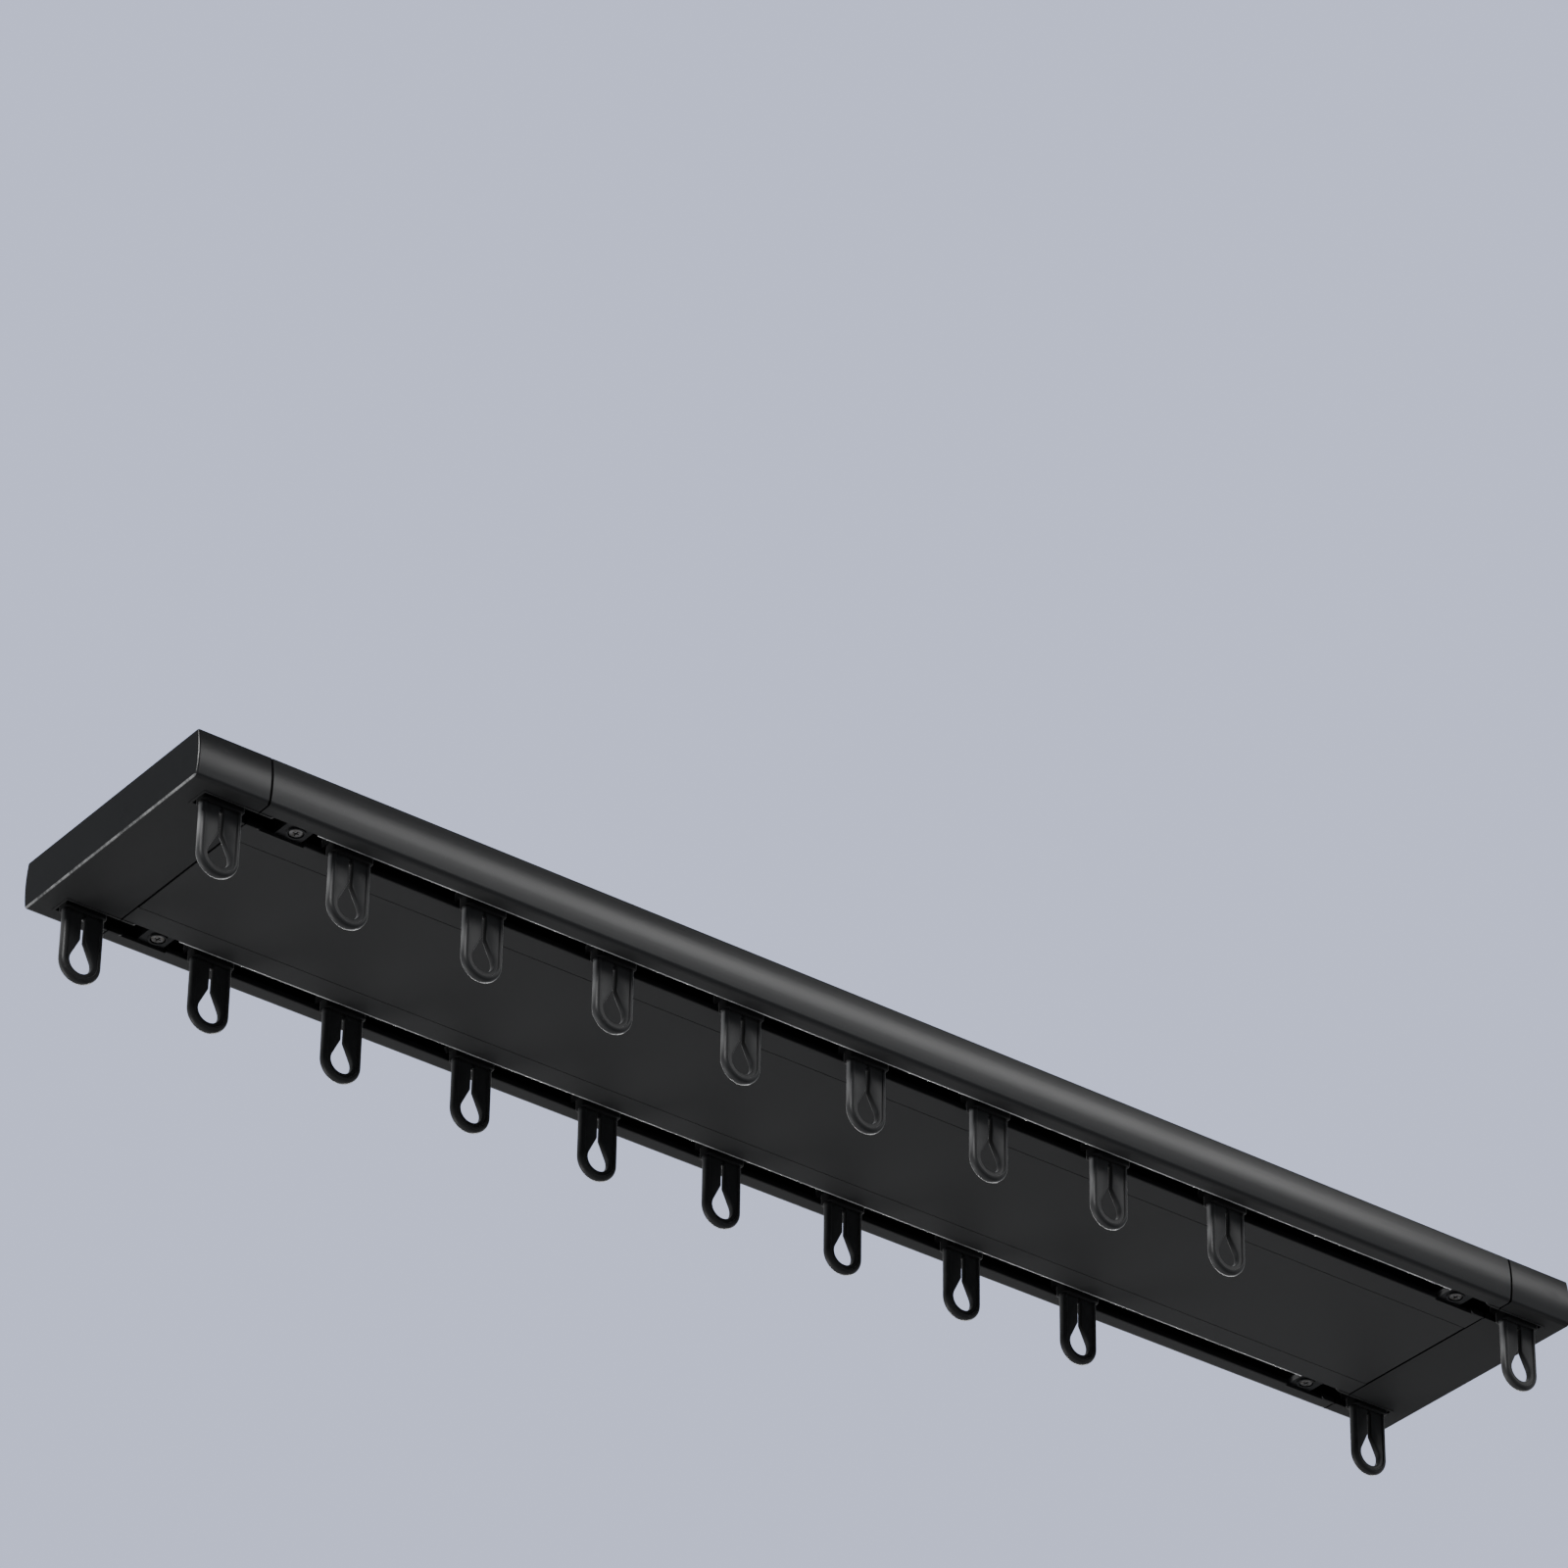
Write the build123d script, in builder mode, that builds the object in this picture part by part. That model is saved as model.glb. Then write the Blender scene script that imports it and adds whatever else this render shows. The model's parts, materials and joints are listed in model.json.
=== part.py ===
"""Two-channel ceiling curtain track with end caps and hook gliders, in mm."""
import os

from build123d import *

os.makedirs("parts", exist_ok=True)

# Whole track: x along it, y across it, z up, with z = 0 at the ceiling face.
track_length = 500.0
track_height = 15.4
side_half_width = 44.5
top_draft = 1.0
bottom_draft = 0.8
bulge_depth = 8.2
top_edge_radius = 0.6
bottom_edge_radius = 1.5

# Rail extrusion.
cap_length = 24.5
seam_gap = 0.2
web_thickness = 1.4
flange_thickness = 1.4
inner_wall = 1.4
outer_wall = 2.3
channel_width = 14.6
slot_width = 6.4
lip_bead_width = 0.8
lip_bead_height = 0.5
lip_radius = 0.35
top_half_width = side_half_width - top_draft
bottom_half_width = side_half_width - bottom_draft
channel_centre = side_half_width - outer_wall - channel_width / 2
rail_length = track_length - 2 * cap_length
flange_top = -track_height + flange_thickness
bead_top = flange_top + lip_bead_height
chamber_half = channel_centre - channel_width / 2 - inner_wall

# Snap-in cover between the two channels.
cover_seat = 3.5
cover_side_gap = 0.25
cover_end_gap = 0.2
cover_thickness = 1.2
cover_leg = 1.2
cover_leg_inset = 0.4
cover_barb = 1.6
cover_barb_height = 1.9
cover_half_width = chamber_half - cover_seat

# Ceiling screw holes in the middle of the web.
ceiling_hole_radius = 2.25
ceiling_hole_pitch = 150.0
ceiling_hole_count = 3

# End cap moulding and its two tongues.
cap_wall = 1.6
cap_end_wall = 2.2
cap_edge_radius = 0.7
cap_seam_chamfer = 0.3
pocket_start = 6.8
fin_thickness = 0.7
fin_reach = 5.0
fin_proud = 0.2
fin_nose_radius = 1.6
tongue_wall = 1.1
tongue_top = 1.6
tongue_length = 19.0
tongue_fit = 0.1
tongue_side_fit = 0.15
partition = 1.45
cap_rib = 1.2
cap_rib_offset = 9.0
block_length = 9.5
block_recess = 1.0
block_chamfer = 1.0
collar_radius = 2.8
collar_height = 0.5
notch_clearance = 0.1

# Screw that locks each tongue to the web.
screw_inset = 4.9
screw_head_radius = 2.1
screw_head_height = 1.4
screw_head_sink = 0.2
screw_shank_radius = 1.1
screw_tip_gap = 0.3
screw_clearance = 0.15
cross_width = 0.55
cross_length = 2.5
cross_depth = 0.9

# Gliders.
head_length = 13.6
head_width = 11.4
head_height = 3.6
head_corner = 2.4
head_chamfer = 0.5
head_lift = 0.35
neck_width = 5.6
neck_corner = 1.4
neck_drop = 0.9
tab_width = 13.2
tab_drop = 23.1
tab_rim = 1.5
rim_thickness = 3.0
panel_thickness = 2.2
eye_radius = 3.7
eye_rise = 7.0
eye_tip = 0.2
slit_width = 1.4
slit_gap = 1.2
row_count = 10
free_pitch = 44.85
first_free = 56.4
end_rest_gap = 0.3

rail_end = rail_length / 2
track_end = track_length / 2
slot_edges = (channel_centre - slot_width / 2, channel_centre + slot_width / 2)
notch_half = slot_width / 2 + fin_thickness + notch_clearance
cap_seam = rail_end + seam_gap
tongue_end = rail_end - tongue_length
screw_x = tongue_end + screw_inset
sides = (-1, 1)

with BuildSketch(Plane.YZ) as track_outline:
    with BuildLine():
        Line((-top_half_width, 0), (top_half_width, 0))
        ThreePointArc((top_half_width, 0), (side_half_width, -bulge_depth),
                      (bottom_half_width, -track_height))
        Line((bottom_half_width, -track_height), (-bottom_half_width, -track_height))
        ThreePointArc((-bottom_half_width, -track_height), (-side_half_width, -bulge_depth),
                      (-top_half_width, 0))
    make_face()
    fillet(track_outline.vertices().group_by(Axis.Y)[-1], top_edge_radius)
    fillet(track_outline.vertices().group_by(Axis.Y)[0], bottom_edge_radius)

with BuildPart() as rail:
    with BuildSketch(Plane.YZ.offset(-rail_end)) as rail_profile:
        add(track_outline.sketch_local)
        for side in sides:
            with Locations((side * channel_centre, -web_thickness)):
                Rectangle(channel_width, -flange_top - web_thickness,
                          align=(Align.CENTER, Align.MAX), mode=Mode.SUBTRACT)
            for edge, grow in ((slot_edges[0], -1), (slot_edges[1], 1)):
                with Locations((side * (edge + grow * lip_bead_width / 2), flange_top)):
                    Rectangle(lip_bead_width, lip_bead_height, align=(Align.CENTER, Align.MIN))
            with Locations((side * channel_centre, -track_height)):
                Rectangle(slot_width, flange_thickness + lip_bead_height,
                          align=(Align.CENTER, Align.MIN), mode=Mode.SUBTRACT)
        with Locations((0, -web_thickness)):
            Rectangle(2 * chamber_half, -flange_top - web_thickness,
                      align=(Align.CENTER, Align.MAX), mode=Mode.SUBTRACT)
        with Locations((0, -track_height)):
            Rectangle(2 * (cover_half_width + cover_side_gap), flange_thickness,
                      align=(Align.CENTER, Align.MIN), mode=Mode.SUBTRACT)
        lip_corners = [v for v in rail_profile.vertices().group_by(Axis.Y)[0]
                       if slot_edges[0] - lip_radius < abs(v.X) < slot_edges[1] + lip_radius]
        fillet(lip_corners, lip_radius)
    extrude(amount=rail_length)
    for end in sides:
        for side in sides:
            with Locations((end * rail_end, side * channel_centre, -track_height)):
                Box(2 * (tongue_length + notch_clearance), 2 * notch_half,
                    flange_thickness + lip_bead_height,
                    align=(Align.CENTER, Align.CENTER, Align.MIN), mode=Mode.SUBTRACT)
            with Locations((end * screw_x, side * channel_centre, 0)):
                Cylinder(screw_shank_radius, web_thickness,
                         align=(Align.CENTER, Align.CENTER, Align.MAX), mode=Mode.SUBTRACT)
    with GridLocations(ceiling_hole_pitch, 1, ceiling_hole_count, 1):
        Cylinder(ceiling_hole_radius, web_thickness,
                 align=(Align.CENTER, Align.CENTER, Align.MAX), mode=Mode.SUBTRACT)
rail.part.label = "rail"
export_step(rail.part, "parts/rail.step")

cover_length = rail_length - 2 * cover_end_gap
leg_outer = cover_half_width - cover_leg_inset
leg_inner = leg_outer - cover_leg
leg_top = flange_top + cover_barb_height
with BuildPart() as cover_plate:
    with BuildSketch(Plane.YZ.offset(-cover_length / 2)):
        with Locations((0, -track_height)):
            Rectangle(2 * cover_half_width, cover_thickness, align=(Align.CENTER, Align.MIN))
        for side in sides:
            with BuildLine():
                Polyline((side * leg_inner, cover_thickness - track_height),
                         (side * leg_outer, cover_thickness - track_height),
                         (side * leg_outer, flange_top),
                         (side * (leg_outer + cover_barb), flange_top),
                         (side * leg_outer, leg_top),
                         (side * leg_inner, leg_top),
                         close=True)
            make_face()
    extrude(amount=cover_length)
cover_plate.part.label = "cover_plate"
export_step(cover_plate.part, "parts/cover_plate.step")

tongue_half = channel_width / 2 - tongue_side_fit
liner_half = tongue_half - tongue_wall
tongue_bottom = flange_top + tongue_fit
liner_top = -web_thickness - tongue_top
block_bottom = -track_height + block_recess
collar_bottom = block_bottom - collar_height
seat_z = collar_bottom + screw_head_sink + screw_head_height
pocket_end = track_end - pocket_start
end_wall_face = track_end - cap_end_wall
fin_outer = slot_width / 2 + fin_thickness
with BuildPart() as end_cap:
    with BuildSketch(Plane.YZ.offset(cap_seam)):
        add(track_outline.sketch_local)
    extrude(amount=track_end - cap_seam)
    fillet(end_cap.faces().sort_by(Axis.X)[-1].edges(), cap_edge_radius)
    chamfer(end_cap.faces().sort_by(Axis.X)[0].edges(), cap_seam_chamfer)

    with BuildSketch(Plane.YZ.offset(cap_seam)):
        with Locations((0, -cap_wall)):
            Rectangle(2 * (channel_centre - liner_half - partition), track_height - 2 * cap_wall,
                      align=(Align.CENTER, Align.MAX))
            for side in sides:
                with Locations((side * cap_rib_offset, 0)):
                    Rectangle(cap_rib, track_height - 2 * cap_wall,
                              align=(Align.CENTER, Align.MAX), mode=Mode.SUBTRACT)
        for side in sides:
            with Locations((side * channel_centre, liner_top)):
                Rectangle(2 * liner_half, track_height + liner_top - cap_wall,
                          align=(Align.CENTER, Align.MAX))
    extrude(amount=end_wall_face - cap_seam, mode=Mode.SUBTRACT)

    with BuildSketch(Plane.YZ.offset(cap_seam)):
        for side in sides:
            with Locations((side * channel_centre, -track_height)):
                Rectangle(slot_width, cap_wall, align=(Align.CENTER, Align.MIN))
    extrude(amount=pocket_end - cap_seam, mode=Mode.SUBTRACT)

    # Each tongue is a trough open below, closed at its inner end by the screw block.
    with BuildSketch(Plane.YZ.offset(tongue_end)):
        for side in sides:
            with Locations((side * channel_centre, -web_thickness)):
                Rectangle(2 * tongue_half, -web_thickness - tongue_bottom, align=(Align.CENTER, Align.MAX))
            with Locations((side * channel_centre, liner_top)):
                Rectangle(2 * liner_half, liner_top - tongue_bottom,
                          align=(Align.CENTER, Align.MAX), mode=Mode.SUBTRACT)
    extrude(amount=cap_seam - tongue_end)
    with BuildSketch(Plane.YZ.offset(tongue_end)):
        for side in sides:
            with Locations((side * channel_centre, liner_top)):
                Rectangle(2 * liner_half, liner_top - tongue_bottom, align=(Align.CENTER, Align.MAX))
                Rectangle(2 * fin_outer, liner_top - block_bottom, align=(Align.CENTER, Align.MAX))
    extrude(amount=block_length)
    nose = end_cap.faces().filter_by(Axis.X).group_by(Axis.X)[0].edges().group_by(Axis.Z)[0]
    chamfer(nose, block_chamfer)

    for side in sides:
        # Thin fins carry the slot's edges on from the pocket into the rail's notch.
        for edge in sides:
            fin_face = side * channel_centre + edge * fin_outer
            with BuildSketch(Plane.XZ.offset(-max(fin_face, fin_face - edge * fin_thickness))) as fin_side:
                with Locations((rail_end - fin_reach, bead_top)):
                    Rectangle(pocket_end - rail_end + fin_reach, bead_top + track_height + fin_proud,
                              align=(Align.MIN, Align.MAX))
                fillet(fin_side.vertices().group_by(Axis.X)[0].sort_by(Axis.Y)[0], fin_nose_radius)
            extrude(amount=fin_thickness)
        with BuildSketch(Plane.XY.offset(-track_height - fin_proud)):
            with Locations((pocket_end, side * channel_centre)):
                Rectangle(fin_thickness, 2 * fin_outer, align=(Align.MIN, Align.CENTER))
        extrude(amount=fin_proud)
        with Locations((screw_x, side * channel_centre, collar_bottom)):
            Cylinder(collar_radius, collar_height, align=(Align.CENTER, Align.CENTER, Align.MIN))
            Cylinder(screw_head_radius + screw_clearance, seat_z - collar_bottom,
                     align=(Align.CENTER, Align.CENTER, Align.MIN), mode=Mode.SUBTRACT)
            Cylinder(screw_shank_radius + screw_clearance, -web_thickness - collar_bottom,
                     align=(Align.CENTER, Align.CENTER, Align.MIN), mode=Mode.SUBTRACT)
for end, name in ((1, "end_cap_right"), (-1, "end_cap_left")):
    with BuildPart() as placed_cap:
        add(end_cap.part, rotation=(0, 0, 90 - 90 * end))
    placed_cap.part.label = name
    export_step(placed_cap.part, f"parts/{name}.step")

with BuildPart() as lock_screw:
    with Locations((0, 0, seat_z)):
        Cylinder(screw_head_radius, screw_head_height, align=(Align.CENTER, Align.CENTER, Align.MAX))
        Cylinder(screw_shank_radius, -screw_tip_gap - seat_z,
                 align=(Align.CENTER, Align.CENTER, Align.MIN))
    with Locations((0, 0, seat_z - screw_head_height)):
        for arm in ((cross_length, cross_width), (cross_width, cross_length)):
            Box(*arm, cross_depth, align=(Align.CENTER, Align.CENTER, Align.MIN), mode=Mode.SUBTRACT)
for end, end_name in ((-1, "left"), (1, "right")):
    for side, side_name in ((-1, "near"), (1, "far")):
        with BuildPart() as placed_screw:
            with Locations((end * screw_x, side * channel_centre, 0)):
                add(lock_screw.part)
        placed_screw.part.label = f"{side_name}_{end_name}_screw"
        export_step(placed_screw.part, f"parts/{side_name}_{end_name}_screw.step")

head_bottom = bead_top + head_lift
neck_bottom = -track_height - neck_drop
tab_bottom = -track_height - tab_drop
eye_z = tab_bottom + tab_width / 2
with BuildPart() as glider:
    with BuildSketch(Plane.XY.offset(head_bottom)) as head_outline:
        Rectangle(head_length, head_width)
        chamfer(head_outline.vertices(), head_corner)
    extrude(amount=head_height)
    chamfer(glider.faces().sort_by(Axis.Z)[-1].edges(), head_chamfer)
    with BuildSketch(Plane.XY.offset(neck_bottom)) as neck_outline:
        Rectangle(head_length, neck_width)
        chamfer(neck_outline.vertices(), neck_corner)
    extrude(amount=head_bottom - neck_bottom)
    with BuildSketch(Plane.XZ) as tab_outline:
        with Locations((0, eye_z)):
            Circle(tab_width / 2)
            Rectangle(tab_width, neck_bottom - eye_z, align=(Align.CENTER, Align.MIN))
    extrude(amount=panel_thickness / 2, both=True)
    with BuildSketch(Plane.XZ):
        add(tab_outline.sketch_local)
        with Locations((0, eye_z)):
            Circle(tab_width / 2 - tab_rim, mode=Mode.SUBTRACT)
            Rectangle(tab_width - 2 * tab_rim, neck_bottom - eye_z, align=(Align.CENTER, Align.MIN),
                      mode=Mode.SUBTRACT)
    extrude(amount=rim_thickness / 2, both=True)
    # Keyhole eye: a teardrop that runs up into a slit for the hook.
    with BuildSketch(Plane.XZ):
        with Locations((0, eye_z)):
            Circle(eye_radius)
        with Locations((0, eye_z + eye_rise)):
            Rectangle(slit_width, eye_tip)
        make_hull()
        with Locations((0, eye_z + eye_rise)):
            Rectangle(slit_width, neck_bottom - slit_gap - eye_z - eye_rise,
                      align=(Align.CENTER, Align.MIN))
    extrude(amount=rim_thickness / 2, both=True, mode=Mode.SUBTRACT)

end_rest = track_end - pocket_start - head_length / 2 - end_rest_gap
free_places = [first_free - track_end + free_pitch * index for index in range(row_count - 2)]
row_places = [-end_rest] + free_places + [end_rest]
for side, side_name in ((-1, "near"), (1, "far")):
    for index, place in enumerate(row_places, start=1):
        with BuildPart() as placed_glider:
            with Locations((place, side * channel_centre, 0)):
                add(glider.part)
        placed_glider.part.label = f"{side_name}_glider_{index:02d}"
        export_step(placed_glider.part, f"parts/{side_name}_glider_{index:02d}.step")
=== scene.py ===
import json
import math

import bmesh
import bpy
from mathutils import Matrix, Vector


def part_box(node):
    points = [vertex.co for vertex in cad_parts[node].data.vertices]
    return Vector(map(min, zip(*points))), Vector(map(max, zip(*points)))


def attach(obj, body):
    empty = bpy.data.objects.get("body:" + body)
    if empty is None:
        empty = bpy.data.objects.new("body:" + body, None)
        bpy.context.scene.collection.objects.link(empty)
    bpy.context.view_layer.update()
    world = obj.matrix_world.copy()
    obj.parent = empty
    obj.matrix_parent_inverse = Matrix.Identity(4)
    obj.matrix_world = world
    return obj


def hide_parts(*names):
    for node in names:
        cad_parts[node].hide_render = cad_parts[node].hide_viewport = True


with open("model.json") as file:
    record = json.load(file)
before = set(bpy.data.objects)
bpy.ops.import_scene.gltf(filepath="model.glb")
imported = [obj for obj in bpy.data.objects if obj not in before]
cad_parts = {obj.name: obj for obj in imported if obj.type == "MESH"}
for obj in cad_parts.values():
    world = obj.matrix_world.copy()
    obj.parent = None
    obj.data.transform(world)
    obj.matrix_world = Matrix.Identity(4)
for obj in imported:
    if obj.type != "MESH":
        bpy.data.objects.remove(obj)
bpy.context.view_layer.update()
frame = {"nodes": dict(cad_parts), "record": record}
mm = 0.001
print("frame loaded")

# camera below the track, on the photograph's line of sight
lookSet = {
    "place": (-1.09929, -1.45684, -1.08456),
    "right": (0.798758, -0.601544, 0.011473),
    "up": (-0.336016, -0.430198, 0.837868),
    "ahead": (0.499078, 0.673108, 0.545753),
    "sensor": 36.0,
    "focalPixels": 7380.4,
    "framePixels": 1600,
    "clip": (0.01, 20),
}


def makeCamera(look):
    data = bpy.data.cameras.new("studioCamera")
    data.sensor_width = look["sensor"]
    data.lens = look["focalPixels"] / look["framePixels"] * look["sensor"]
    data.clip_start, data.clip_end = look["clip"]
    camera = bpy.data.objects.new("studioCamera", data)
    bpy.context.scene.collection.objects.link(camera)
    rows = zip(look["right"], look["up"], (-a for a in look["ahead"]), look["place"])
    camera.matrix_world = Matrix([list(row) for row in rows] + [[0, 0, 0, 1]])
    bpy.context.scene.camera = camera


makeCamera(lookSet)

# plain studio: pale floor far below, grey-blue surround, soft lamps
studioSet = {
    "backdrop": (0.688, 0.747, 1.01),
    "wallLight": (0.66, 0.68, 0.72),
    "ceilingLight": (0.07, 0.075, 0.08),
    "wallTop": (0.12, 0.62),
    "floorDepth": -1.55,
    "floorSize": 14.0,
    "floorColour": (0.82, 0.82, 0.83),
    "floorRough": 0.9,
    "lamps": {
        "sideLamp": {"place": (0.97, -1.35, 1.05), "size": (0.9, 0.45), "power": 8},
        "leftLamp": {"place": (-1.5, -0.95, 1.1), "size": (0.9, 0.6), "power": 46},
        "edgeLamp": {"place": (-1.2, 1.45, -0.9), "size": (1.0, 0.7), "power": 13},
        "backLamp": {"place": (1.05, 1.8, -0.045), "size": (1.8, 0.08), "power": 24},
    },
}


def makeStudio(studio):
    world = bpy.data.worlds.new("studioSurround")
    bpy.context.scene.world = world
    world.use_nodes = True
    tree = world.node_tree
    room = tree.nodes["Background"]
    seen = tree.nodes.new("ShaderNodeBackground")
    seen.inputs["Color"].default_value = (*studio["backdrop"], 1)
    way = tree.nodes.new("ShaderNodeTexCoord")
    rise = tree.nodes.new("ShaderNodeSeparateXYZ")
    shade = tree.nodes.new("ShaderNodeValToRGB")
    tones = (studio["wallLight"], studio["ceilingLight"])
    for stop, place, tone in zip(shade.color_ramp.elements, studio["wallTop"], tones):
        stop.position = place
        stop.color = (*tone, 1)
    rays = tree.nodes.new("ShaderNodeLightPath")
    pair = tree.nodes.new("ShaderNodeMixShader")
    for a, b in ((way.outputs["Generated"], rise.inputs[0]),
                 (rise.outputs["Z"], shade.inputs[0]),
                 (shade.outputs["Color"], room.inputs["Color"]),
                 (rays.outputs["Is Camera Ray"], pair.inputs[0]),
                 (room.outputs[0], pair.inputs[1]),
                 (seen.outputs[0], pair.inputs[2]),
                 (pair.outputs[0], tree.nodes["World Output"].inputs["Surface"])):
        tree.links.new(a, b)

    floorPlace = (0, 0, studio["floorDepth"])
    bpy.ops.mesh.primitive_plane_add(size=studio["floorSize"], location=floorPlace)
    floor = bpy.context.object
    floor.name = "studioFloor"
    paper = bpy.data.materials.new("floorPaper")
    paper.use_nodes = True
    skin = paper.node_tree.nodes["Principled BSDF"]
    skin.inputs["Base Color"].default_value = (*studio["floorColour"], 1)
    skin.inputs["Roughness"].default_value = studio["floorRough"]
    floor.data.materials.append(paper)

    for name, lamp in studio["lamps"].items():
        data = bpy.data.lights.new(name, "AREA")
        data.shape = "RECTANGLE"
        data.size, data.size_y = lamp["size"]
        data.energy = lamp["power"]
        light = bpy.data.objects.new(name, data)
        light.visible_camera = False
        bpy.context.scene.collection.objects.link(light)
        light.location = lamp["place"]
        light.rotation_euler = (-Vector(lamp["place"])).to_track_quat("-Z", "Y").to_euler()


makeStudio(studioSet)
print("camera and studio ready")


# shader maths as Python expressions
class Wire:
    def __init__(self, tree, out):
        self.tree, self.out = tree, out

    def maths(self, way, first, second=0.0):
        node = self.tree.nodes.new("ShaderNodeMath")
        node.operation = way
        for socket, value in zip(node.inputs, (first, second)):
            if isinstance(value, Wire):
                self.tree.links.new(value.out, socket)
            else:
                socket.default_value = value
        return Wire(self.tree, node.outputs[0])

    def __add__(self, other):
        return self.maths("ADD", self, other)

    def __sub__(self, other):
        return self.maths("SUBTRACT", self, other)

    def __rsub__(self, other):
        return self.maths("SUBTRACT", other, self)

    def __mul__(self, other):
        return self.maths("MULTIPLY", self, other)

    __radd__ = __add__
    __rmul__ = __mul__

    def size(self):
        return self.maths("ABSOLUTE", self)

    def below(self, limit):
        return self.maths("LESS_THAN", self, limit)


class Finish:
    def __init__(self, name, fixed):
        self.stuff = bpy.data.materials.new(name)
        self.stuff.use_nodes = True
        self.tree = self.stuff.node_tree
        self.skin = self.tree.nodes["Principled BSDF"]
        for socket, value in fixed.items():
            self.skin.inputs[socket].default_value = value

    def node(self, kind, settings, values, out=0):
        node = self.tree.nodes.new(kind)
        for key, value in settings.items():
            setattr(node, key, value)
        for key, value in values.items():
            if isinstance(value, Wire):
                self.tree.links.new(value.out, node.inputs[key])
            else:
                node.inputs[key].default_value = value
        return Wire(self.tree, node.outputs[out])

    def feed(self, socket, value):
        self.tree.links.new(value.out, self.skin.inputs[socket])

    def places(self):
        return self.node("ShaderNodeTexCoord", {}, {}, "Object")

    def axes(self, vector):
        split = self.node("ShaderNodeSeparateXYZ", {}, {"Vector": vector})
        return [Wire(self.tree, out) for out in split.out.node.outputs]

    def noise(self, vector, scale, detail, rough=0.5):
        if isinstance(scale, tuple):
            vector = self.node("ShaderNodeMapping", {}, {"Vector": vector, "Scale": scale})
            scale = 1.0
        values = {"Vector": vector, "Scale": scale, "Detail": detail, "Roughness": rough}
        return self.node("ShaderNodeTexNoise", {}, values)

    def ramp(self, value, places, first=0.0, last=1.0):
        ramp = self.node("ShaderNodeValToRGB", {}, {"Fac": value})
        stops = ramp.out.node.color_ramp.elements
        for stop, place, tone in zip(stops, places, (first, last)):
            stop.position = place
            stop.color = (tone, tone, tone, 1)
        return ramp

    def blend(self, share, first, second):
        # 6, 7 and 2 are the Mix node's colour sockets
        return self.node("ShaderNodeMix", {"data_type": "RGBA"}, {"Factor": share, 6: first, 7: second}, 2)

    def bump(self, height, strength, distance):
        values = {"Height": height, "Strength": strength, "Distance": distance}
        self.feed("Normal", self.node("ShaderNodeBump", {}, values))


# In the finishes' values a tone is a grey and its lift towards blue. A noise is its scale, or
# one for each axis where it is drawn out, then its detail and its roughness.
def rgb(tone, lift):
    return (tone + lift * 0.2, tone + lift * 0.4, tone + lift, 1)


# satin powder coat on the extrusions: orange peel, faint draw lines and dust, with a painted highlight along
# the slot lips and a painted paler underside
coatSet = {
    "fixed": {"IOR": 1.42, "Specular IOR Level": 0.4},
    "cloud": (14, 3), "darkTone": (0.00884, 0.0008), "lightTone": (0.01248, 0.001),
    "draw": ((3, 900, 900), 2), "lineStops": (0.35, 0.75), "lineShare": 0.5,
    "lineTone": (0.0156, 0.001),
    "specks": (2600, 1), "speckStops": (0.69, 0.74), "dustShare": 0.5, "dustTone": (0.03, 0.002),
    "rough": 0.23, "roughSwing": 0.08, "roughLines": 0.05, "roughBelow": 0.45,
    "peel": (1500, 2), "peelLines": 0.4, "lipPeel": 0.7, "peelStrength": 0.5, "peelDepth": 0.000012,
    "slotMiddle": 0.0349, "slotHalf": 0.0032, "lipWidth": 0.0007, "lipTop": -0.0145,
    "lipPatches": ((45, 1, 1), 4, 0.7), "lipStops": (0.36, 0.62), "lipLeast": 0.2,
    "lipTone": (0.6, 0.01), "lipGloss": 0.12,
    "underside": -0.0152, "underShare": 0.52, "underTone": (0.045, 0),
}


def makeCoat(name, values):
    coat = Finish(name, values["fixed"])
    places = coat.places()
    across, height = coat.axes(places)[1:]
    cloud = coat.noise(places, *values["cloud"])
    draw = coat.noise(places, *values["draw"])
    specks = coat.ramp(coat.noise(places, *values["specks"]), values["speckStops"])
    base = coat.blend(cloud, rgb(*values["darkTone"]), rgb(*values["lightTone"]))
    lines = coat.ramp(draw, values["lineStops"], last=values["lineShare"])
    lined = coat.blend(lines, base, rgb(*values["lineTone"]))
    dusty = coat.blend(specks * values["dustShare"], lined, rgb(*values["dustTone"]))
    # painted highlight along the two slot lips that face +y, towards the back lamp, broken into patches
    offEdge = ((across + values["slotHalf"]).size() - values["slotMiddle"]).size()
    lip = offEdge.below(values["lipWidth"]) * height.below(values["lipTop"])
    patches = coat.noise(places, *values["lipPatches"])
    paintedLipHighlight = lip * coat.ramp(patches, values["lipStops"], first=values["lipLeast"])
    # painted light: the underside faces are painted paler, standing in for light from the floor
    under = height.below(values["underside"]) * (1 - lip)
    paintedUnderLight = coat.blend(under * values["underShare"], dusty, rgb(*values["underTone"]))
    coat.feed("Base Color", coat.blend(paintedLipHighlight, paintedUnderLight, rgb(*values["lipTone"])))
    sheen = cloud * values["roughSwing"] + draw * values["roughLines"] + values["rough"]
    coat.feed("Roughness", sheen + under * values["roughBelow"] - paintedLipHighlight * values["lipGloss"])
    skin = coat.noise(places, *values["peel"]) + draw * values["peelLines"]
    coat.bump(skin * (1 - lip) + lip * values["lipPeel"], values["peelStrength"], values["peelDepth"])
    return coat.stuff


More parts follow.
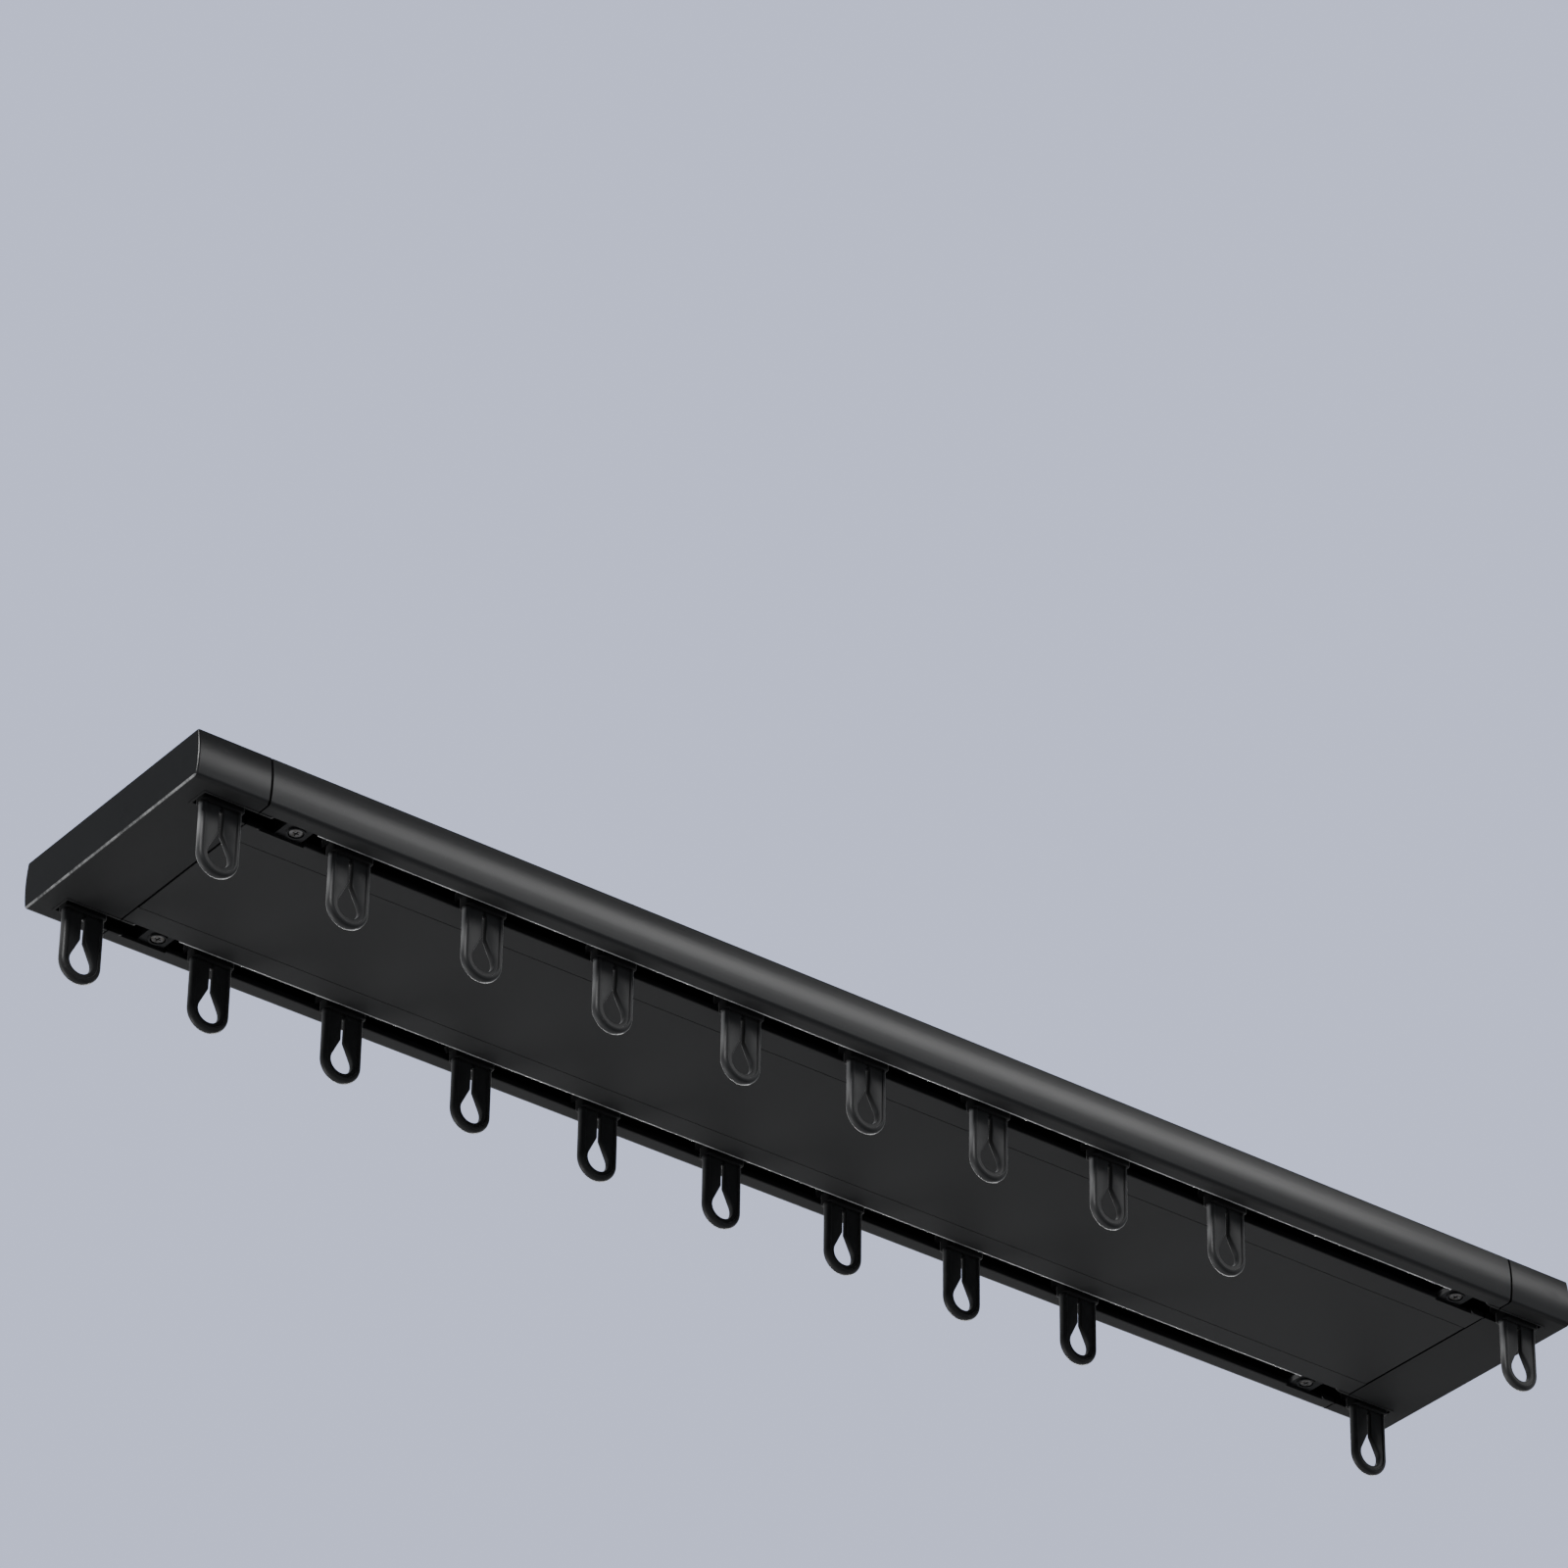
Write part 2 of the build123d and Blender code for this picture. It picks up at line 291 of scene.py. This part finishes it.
# moulded end caps: a little darker, with a fine spark-eroded grain and fine scuffs
capSet = {
    "fixed": {"IOR": 1.45, "Specular IOR Level": 0.4},
    "cloud": (55, 3), "darkTone": (0.00663, 0.0006), "lightTone": (0.00975, 0.001),
    "rough": 0.23, "roughSwing": 0.08, "roughScuffs": 0.12, "roughGrain": 0.05, "roughBelow": 0.42,
    "grain": (5200, 2), "grainStrength": 0.35, "grainDepth": 0.000006,
    "scuffs": ((90, 2400, 90), 3, 0.65), "scuffStops": (0.64, 0.72), "scuffShare": 0.35,
    "scuffTone": (0.03, 0.002),
    "seam": 0.22585, "seamHalf": 0.0002, "seamSide": 0.0002, "seamTone": (0.003, 0),
    "end": 0.25, "edgeReach": 0.0004, "edgeTop": -0.0147, "edgeTone": (0.26, 0),
    "flecks": ((1, 160, 1), 5, 0.75), "fleckStops": (0.38, 0.62), "fleckLeast": 0.12,
    "underside": -0.0152, "underShare": 0.34, "underTone": (0.035, 0),
}


def makeCapPlastic(values):
    cap = Finish("capMoulding", values["fixed"])
    places = cap.places()
    along, height = cap.axes(places)[::2]
    cloud = cap.noise(places, *values["cloud"])
    grain = cap.noise(places, *values["grain"])
    body = cap.blend(cloud, rgb(*values["darkTone"]), rgb(*values["lightTone"]))
    # painted light: the cap's underside is painted paler, standing in for light from the floor
    under = height.below(values["underside"])
    paintedUnderLight = cap.blend(under * values["underShare"], body, rgb(*values["underTone"]))
    marks = cap.ramp(cap.noise(places, *values["scuffs"]), values["scuffStops"])
    scuffed = cap.blend(marks * values["scuffShare"], paintedUnderLight, rgb(*values["scuffTone"]))
    # painted highlight along the lower outer end edge, in flecks
    edge = (along.size() - values["end"]).size().below(values["edgeReach"]) * height.below(values["edgeTop"])
    edgeLightNoise = cap.noise(places, *values["flecks"])
    flecks = cap.ramp(edgeLightNoise, values["fleckStops"], first=values["fleckLeast"])
    knocked = cap.blend(edge * flecks, scuffed, rgb(*values["edgeTone"]))
    # painted shade in the chamfer beside the rail, wider up the bulged side, near-black and metallic so that
    # it reflects nothing
    sideways = (1 - under) * values["seamSide"]
    seam = ((along.size() - values["seam"]).size() - sideways).below(values["seamHalf"])
    cap.feed("Base Color", cap.blend(seam, knocked, rgb(*values["seamTone"])))
    cap.feed("Metallic", seam)
    sheen = cloud * values["roughSwing"] + marks * values["roughScuffs"] + grain * values["roughGrain"]
    cap.feed("Roughness", sheen + values["rough"] + (under + seam) * values["roughBelow"])
    cap.bump(grain, values["grainStrength"], values["grainDepth"])
    return cap.stuff


# black nylon of the gliders: soft sheen, flow marks, paler where hooks and slot edges rub; painted
# highlights on the rims and painted shade in the slits
nylonSet = {
    "fixed": {"IOR": 1.45, "Specular IOR Level": 0.3, "Sheen Weight": 0.5, "Sheen Roughness": 0.35},
    "cloud": (120, 3), "darkTone": (0.0072, 0.0008), "lightTone": (0.0117, 0.001),
    "rough": 0.37, "roughFlow": 0.12, "roughRub": 0.15, "roughGrain": 0.06,
    "flow": ((60, 60, 240), 2), "grain": (4200, 2),
    "grainFlow": 0.5, "grainStrength": 0.4, "grainDepth": 0.000008,
    "rub": (700, 3, 0.6), "rubStops": (0.62, 0.74), "rubShare": 0.3, "rubTone": (0.04, 0.002),
    "knockedTone": (0.3, 0), "knockedLeast": 0.3, "quietRow": 0.2,
    "shadeTone": (0.003, 0), "shadeDepth": 0.8, "shadeRough": 0.3,
}


def makeNylon(values):
    nylon = Finish("gliderNylon", values["fixed"])
    places = nylon.places()
    across = nylon.axes(places)[1]
    cloud = nylon.noise(places, *values["cloud"])
    flow = nylon.noise(places, *values["flow"])
    grain = nylon.noise(places, *values["grain"])
    rub = nylon.ramp(nylon.noise(places, *values["rub"]), values["rubStops"])
    body = nylon.blend(cloud, rgb(*values["darkTone"]), rgb(*values["lightTone"]))
    rubbed = nylon.blend(rub * values["rubShare"], body, rgb(*values["rubTone"]))
    # painted highlight on the rims' outer walls, weaker in the far row (y > 0), which the lamps leave in
    # shade
    knocked = nylon.node("ShaderNodeAttribute", {"attribute_name": "knocked"}, {}, "Fac")
    row = across.below(0.0) * (1 - values["quietRow"]) + values["quietRow"]
    share = knocked * row * (cloud + values["knockedLeast"])
    pale = nylon.blend(share, rubbed, rgb(*values["knockedTone"]))
    # painted shade in the slit and round the neck and head, near-black and partly metallic so it reflects
    # little
    shaded = nylon.node("ShaderNodeAttribute", {"attribute_name": "shaded"}, {}, "Fac")
    nylon.feed("Base Color", nylon.blend(shaded, pale, rgb(*values["shadeTone"])))
    nylon.feed("Metallic", shaded * values["shadeDepth"])
    sheen = flow * values["roughFlow"] + rub * values["roughRub"] + grain * values["roughGrain"]
    nylon.feed("Roughness", sheen + shaded * values["shadeRough"] + values["rough"])
    nylon.bump(grain + flow * values["grainFlow"], values["grainStrength"], values["grainDepth"])
    return nylon.stuff


# plated steel of the screws, dulled and browner in patches
steelSet = {
    "fixed": {"Metallic": 1.0},
    "cloud": (900, 3), "patchStops": (0.35, 0.65), "brightTone": (0.24, 0),
    "patchColour": (0.13, 0.118, 0.105, 1),
    "rough": 0.24, "roughSwing": 0.2, "roughGrain": 0.08,
    "grain": (5000, 2), "grainStrength": 0.3, "grainDepth": 0.000006,
}


def makeSteel(values):
    steel = Finish("platedSteel", values["fixed"])
    places = steel.places()
    cloud = steel.noise(places, *values["cloud"])
    grain = steel.noise(places, *values["grain"])
    patches = steel.ramp(cloud, values["patchStops"], first=1.0, last=0.0)
    steel.feed("Base Color", steel.blend(patches, rgb(*values["brightTone"]), values["patchColour"]))
    steel.feed("Roughness", cloud * values["roughSwing"] + grain * values["roughGrain"] + values["rough"])
    steel.bump(grain, values["grainStrength"], values["grainDepth"])
    return steel.stuff


# the cover strip is a shade darker and its peel is finer than the rail's
coverSet = {
    **coatSet, "peel": (1800, 2),
    "darkTone": (0.00799, 0.0008), "lightTone": (0.01128, 0.001), "lineTone": (0.0141, 0.001),
}

nylon = makeNylon(nylonSet)
steel = makeSteel(steelSet)
capPlastic = makeCapPlastic(capSet)
finishes = {
    "rail": makeCoat("railCoat", coatSet),
    "cover_plate": makeCoat("coverCoat", coverSet),
    "end_cap_left": capPlastic,
    "end_cap_right": capPlastic,
}
for name, stuff in finishes.items():
    node = frame["nodes"][name]
    node.data.materials.clear()
    node.data.materials.append(stuff)
print("finishes made")


# modelling helpers: places in mm, and everything is deselected before each new piece
near = 0.01         # mm, the slack for finding things by their place
weld = 0.00001      # metres
facing = 0.9        # least cosine for a face that points a given way


def same(a, b):
    return abs(a - b) < near


def startPiece(adder, **how):
    if bpy.context.object and bpy.context.object.mode != "OBJECT":
        bpy.ops.object.mode_set(mode="OBJECT")
    bpy.ops.object.select_all(action="DESELECT")
    adder(**how)
    return bpy.context.object


def choose(piece):
    bpy.ops.object.select_all(action="DESELECT")
    piece.select_set(True)
    bpy.context.view_layer.objects.active = piece


def applyPlace(piece):
    choose(piece)
    bpy.ops.object.transform_apply(location=True, rotation=True, scale=True)


def editPiece(piece):
    bpy.context.view_layer.objects.active = piece
    bpy.ops.object.mode_set(mode="EDIT")


def pick(piece, kind, test):
    bpy.ops.mesh.select_mode(type=kind)
    bpy.ops.mesh.select_all(action="DESELECT")
    mesh = bmesh.from_edit_mesh(piece.data)
    if kind == "VERT":
        chosen = [v for v in mesh.verts if test(v.co / mm)]
    elif kind == "EDGE":
        chosen = [e for e in mesh.edges if test(e.verts[0].co / mm, e.verts[1].co / mm)]
    else:
        chosen = [f for f in mesh.faces if test(f.calc_center_median() / mm, f.normal)]
    for part in chosen:
        part.select_set(True)
    mesh.select_flush_mode()
    bmesh.update_edit_mesh(piece.data)


def slide(x=0.0, y=0.0, z=0.0):
    bpy.ops.transform.translate(value=(x * mm, y * mm, z * mm))


def pull(x=0.0, y=0.0, z=0.0):
    bpy.ops.mesh.extrude_region_move(TRANSFORM_OT_translate={"value": (x * mm, y * mm, z * mm)})


def stretch(x, y, height):
    bpy.ops.transform.resize(value=(x, y, 1), center_override=(0, 0, height * mm))


def roundOff(size, steps):
    bpy.ops.mesh.bevel(offset=size * mm, segments=steps, affect="EDGES")


def settle():
    bpy.ops.mesh.select_all(action="SELECT")
    bpy.ops.mesh.remove_doubles(threshold=weld)
    bpy.ops.mesh.normals_make_consistent(inside=False)
    bpy.ops.object.mode_set(mode="OBJECT")


def applyModifier(piece, kind, **settings):
    choose(piece)
    modifier = piece.modifiers.new(kind.lower(), kind)
    for key, value in settings.items():
        setattr(modifier, key, value)
    bpy.ops.object.modifier_apply(modifier=modifier.name)


def dressPiece(piece, angle, stuff):
    choose(piece)
    bpy.ops.object.shade_smooth_by_angle(angle=math.radians(angle))
    piece.data.materials.clear()
    piece.data.materials.append(stuff)


# hook glider, in mm about its own centre line: head in the channel, neck in the slot, tab below
gliderSet = {
    "headLength": 13.6, "headWidth": 11.4, "headTop": -9.55, "headBottom": -13.15, "headEdge": 0.5,
    "neckLength": 13.4, "neckWidth": 5.6, "neckBottom": -16.3, "neckCorner": 1.4, "cornerSteps": 4,
    "tabHalf": 6.6, "tabRim": 1.5, "rimHalf": 1.5, "panelHalf": 1.1, "sunk": 0.2,
    "eyeHeight": -31.9, "eyeRadius": 3.7, "slitHalf": 0.7, "slitFoot": -24.9, "slitTop": -17.5,
    "bead": 1.3, "beadSteps": 6, "lip": 0.4, "edge": 0.15, "edgeSteps": 2, "spinSteps": 14,
    "smoothAngle": 40, "wearHalf": 1.1, "wearLeast": 0.1, "wearMost": 0.9,
    "shadeBeside": 0.05, "shadeBelow": 0.1,
}


def reachOf(p, g):
    # distance from the eye's centre below it, from the middle plane above it
    return abs(p.x) if p.z > g["eyeHeight"] else math.hypot(p.x, p.z - g["eyeHeight"])


def makeTab(g):
    inner = g["eyeRadius"]
    rimEdge = g["tabHalf"] - g["tabRim"]
    wide = g["tabHalf"] - inner
    middle = inner + wide / 2
    strips = 3
    tab = startPiece(bpy.ops.mesh.primitive_grid_add, x_subdivisions=2, y_subdivisions=strips, size=1,
                     location=(middle * mm, 0, g["eyeHeight"] * mm))
    tab.scale = (wide * mm, 2 * g["rimHalf"] * mm, 1)
    applyPlace(tab)
    editPiece(tab)
    pick(tab, "VERT", lambda p: same(p.x, middle))
    slide(x=rimEdge - middle)
    pick(tab, "VERT", lambda p: abs(p.y) < g["rimHalf"] - near)
    stretch(1, g["panelHalf"] / (g["rimHalf"] / strips), g["eyeHeight"])
    pick(tab, "FACE", lambda p, n: p.x < rimEdge and abs(p.y) > g["panelHalf"])
    bpy.ops.mesh.delete(type="FACE")
    pick(tab, "FACE", lambda p, n: p.x > rimEdge)
    bpy.ops.mesh.dissolve_faces(use_verts=True)
    # the section turns a quarter round the eye, then rises in steps to the neck
    bpy.ops.mesh.select_all(action="SELECT")
    bpy.ops.mesh.spin(steps=g["spinSteps"], angle=-math.pi / 2, center=(0, 0, g["eyeHeight"] * mm),
                      axis=(0, 1, 0))
    pick(tab, "FACE", lambda p, n: same(p.z, g["eyeHeight"]))
    rise = g["slitFoot"] - g["eyeHeight"]
    # turn is the angle where a line from the slit's foot touches the eye
    turn = math.atan2(rise, g["slitHalf"]) - math.acos(inner / math.hypot(rise, g["slitHalf"]))
    steps = [(g["eyeHeight"] + inner * math.sin(a), inner * math.cos(a)) for a in (turn / 2, turn)]
    tabTop = g["neckBottom"] + g["sunk"]
    steps += [(height, g["slitHalf"]) for height in (g["slitFoot"], g["slitTop"], tabTop)]
    level, reach = g["eyeHeight"], inner
    for height, inside in steps:
        pull(z=height - level)
        pick(tab, "VERT", lambda p: same(p.z, height) and same(p.x, reach))
        slide(x=inside - reach)
        pick(tab, "FACE", lambda p, n: same(p.z, height))
        level, reach = height, inside
    # above the slit the two halves meet
    pick(tab, "FACE", lambda p, n: p.z > g["slitTop"] and same(p.x, g["slitHalf"]))
    pull(x=-g["slitHalf"])
    pick(tab, "FACE", lambda p, n: same(p.x, 0))
    bpy.ops.mesh.delete(type="FACE")
    settle()
    applyModifier(tab, "MIRROR", use_clip=True, merge_threshold=weld)
    editPiece(tab)
    settle()

    def outerEdge(a, b):
        onFace = abs(a.y + b.y) > 2 * g["rimHalf"] - near
        return onFace and min(reachOf(a, g), reachOf(b, g)) > g["tabHalf"] - near

    def stepEdge(a, b):
        onFace = abs(a.y + b.y) > 2 * g["rimHalf"] - near
        return onFace and max(reachOf(a, g), reachOf(b, g)) < rimEdge + near

    def eyeEdge(a, b):
        onFace = same(abs(a.y), g["panelHalf"]) and same(a.y, b.y)
        inside = max(reachOf(a, g), reachOf(b, g)) < rimEdge - near
        return onFace and inside and max(a.z, b.z) < g["slitTop"] + near

    editPiece(tab)
    pick(tab, "EDGE", outerEdge)
    roundOff(g["bead"], g["beadSteps"])
    pick(tab, "EDGE", stepEdge)
    roundOff(g["edge"], g["edgeSteps"])
    pick(tab, "EDGE", eyeEdge)
    roundOff(g["lip"], g["edgeSteps"])
    settle()
    return tab


def makeStem(g):
    deep = g["headBottom"] - g["neckBottom"]
    stem = startPiece(bpy.ops.mesh.primitive_cube_add, size=1,
                      location=(0, 0, (g["neckBottom"] + deep / 2) * mm))
    stem.scale = (g["neckLength"] * mm, g["neckWidth"] * mm, deep * mm)
    applyPlace(stem)
    editPiece(stem)
    pick(stem, "EDGE", lambda a, b: same(abs(a.z - b.z), deep))
    roundOff(g["neckCorner"], g["cornerSteps"])
    pick(stem, "EDGE", lambda a, b: max(a.z, b.z) < g["neckBottom"] + near)
    roundOff(g["edge"], g["edgeSteps"])
    # the head grows out from the neck's top
    pick(stem, "FACE", lambda p, n: same(p.z, g["headBottom"]))
    pull()
    stretch(g["headLength"] / g["neckLength"], g["headWidth"] / g["neckWidth"], g["headBottom"])
    pull(z=g["headTop"] - g["headBottom"])
    pick(stem, "EDGE", lambda a, b: same(a.z, g["headTop"]) and same(b.z, g["headTop"]))
    roundOff(g["headEdge"], g["edgeSteps"])
    settle()
    return stem


def makeGlider(g, stuff):
    tab = makeTab(g)
    stem = makeStem(g)
    applyModifier(stem, "BOOLEAN", operation="UNION", solver="EXACT", object=tab)
    bpy.data.objects.remove(tab)
    dressPiece(stem, g["smoothAngle"], stuff)
    # painted highlight on the middle of the rim's outer wall, stronger towards the top,
    # and painted shade in the slit and round the neck and head
    rimLight = stem.data.attributes.new("knocked", "FLOAT", "POINT")
    dark = stem.data.attributes.new("shaded", "FLOAT", "POINT")
    neckFoot = g["neckBottom"] - g["sunk"]
    straight = (g["neckBottom"] - g["eyeHeight"]) / 2
    for point, mark, dim in zip(stem.data.vertices, rimLight.data, dark.data):
        p = point.co / mm
        onRim = p.z < neckFoot and reachOf(p, g) > g["tabHalf"] - g["bead"]
        climb = min(1.0, max(0.0, (p.z - g["eyeHeight"]) / straight))
        strength = g["wearLeast"] + (g["wearMost"] - g["wearLeast"]) * climb
        mark.value = max(0.0, 1 - (p.y / g["wearHalf"]) ** 2) * strength if onRim else 0.0
        inSlit = p.z > g["slitFoot"] - g["shadeBelow"] and abs(p.x) < g["slitHalf"] + g["shadeBeside"]
        dim.value = 1.0 if inSlit or p.z > neckFoot else 0.0
    return stem


bodies = frame["record"]["behaviour"]["bodies"]
bodyOf = {name: body for body, names in bodies.items() for name in names}


def placeCopies(master, nodes, ending):
    for name in nodes:
        low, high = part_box(name)
        piece = bpy.data.objects.new(name + ending, master.data.copy())
        bpy.context.scene.collection.objects.link(piece)
        piece.data.transform(Matrix.Translation(((low.x + high.x) / 2, (low.y + high.y) / 2, 0)))
        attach(piece, bodyOf[name])
        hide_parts(name)
    bpy.data.objects.remove(master)


gliderNodes = [name for name in sorted(bodyOf) if "_glider_" in name]
placeCopies(makeGlider(gliderSet, nylon), gliderNodes, "_moulding")
print("gliders placed:", len(gliderNodes))

# pan-head locking screws with a cross recess, in mm about their own axis
screwSet = {
    "headRadius": 2.1, "headHeight": 1.4, "headFoot": -14.7, "headEdge": 0.4, "sides": 48,
    "shankRadius": 1.1, "shankTop": -0.3, "edgeSteps": 4, "smoothAngle": 35,
    "crossHalf": 0.28, "crossReach": 1.05, "crossDeep": 0.9, "crossTaper": 0.6,
}


def makeScrew(s, stuff):
    seat = s["headFoot"] + s["headHeight"]
    screw = startPiece(bpy.ops.mesh.primitive_cylinder_add, vertices=s["sides"],
                       radius=s["headRadius"] * mm, depth=s["headHeight"] * mm,
                       location=(0, 0, (s["headFoot"] + seat) / 2 * mm))
    applyPlace(screw)
    editPiece(screw)
    pick(screw, "EDGE", lambda a, b: same(a.z, s["headFoot"]) and same(b.z, s["headFoot"]))
    roundOff(s["headEdge"], s["edgeSteps"])
    pick(screw, "FACE", lambda p, n: same(p.z, seat))
    bpy.ops.mesh.inset(thickness=(s["headRadius"] - s["shankRadius"]) * mm)
    pull(z=s["shankTop"] - seat)
    settle()

    cross = startPiece(bpy.ops.mesh.primitive_cube_add, size=2 * s["crossHalf"] * mm,
                       location=(0, 0, s["headFoot"] * mm))
    cross.scale = (1, 1, s["crossDeep"] / s["crossHalf"])
    applyPlace(cross)
    editPiece(cross)
    # four arms, each from the face whose middle is on the arm's own line
    for x, y in ((1, 0), (-1, 0), (0, 1), (0, -1)):
        pick(cross, "FACE", lambda p, n: n.x * x + n.y * y > facing and same(p.x * y, p.y * x))
        pull(x=x * s["crossReach"], y=y * s["crossReach"])
    pick(cross, "VERT", lambda p: p.z > s["headFoot"] + near)
    stretch(s["crossTaper"], s["crossTaper"], s["headFoot"])
    settle()
    applyModifier(screw, "BOOLEAN", operation="DIFFERENCE", solver="EXACT", object=cross)
    bpy.data.objects.remove(cross)
    dressPiece(screw, s["smoothAngle"], stuff)
    return screw


screwNodes = [name for name in sorted(bodyOf) if name.endswith("_screw")]
placeCopies(makeScrew(screwSet, steel), screwNodes, "_turned")
print("screws placed:", len(screwNodes))
